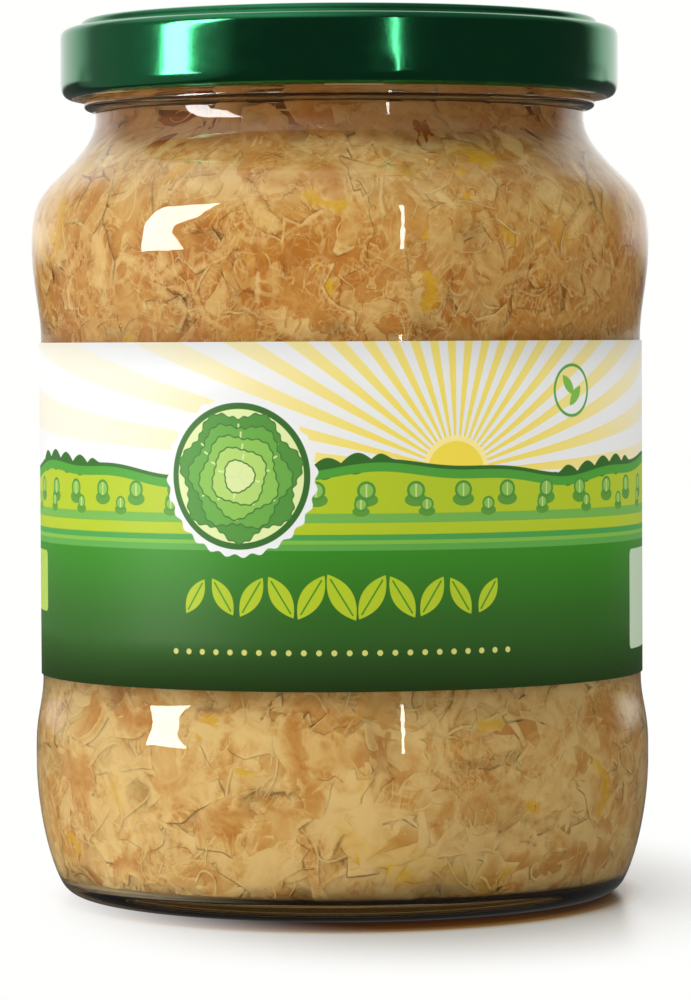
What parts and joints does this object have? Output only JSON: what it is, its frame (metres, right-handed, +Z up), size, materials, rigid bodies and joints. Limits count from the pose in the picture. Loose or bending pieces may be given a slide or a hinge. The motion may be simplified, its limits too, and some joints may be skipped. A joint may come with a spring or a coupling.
{
  "type": "jar of sauerkraut",
  "caption": "Sealed clear glass twist-off jar with a green steel lid and a paper wrap label, filled with pale shredded cabbage in brine.",
  "frame": {"origin": "centre of the jar's standing ring, on the surface it stands on", "axes": "+Z up along the jar's axis, -Y towards the front of the label"},
  "size_m": [0.0942, 0.0942, 0.1331],
  "materials": {
    "clear_glass": "clear, smooth",
    "green_enamel": "gloss",
    "printed_paper": "semi-gloss print",
    "cabbage": "wet, translucent food"
  },
  "bodies": {
    "root": {"glass_jar": "clear_glass", "lid": "green_enamel", "label": "printed_paper", "sauerkraut": "cabbage"}
  },
  "joints": []
}
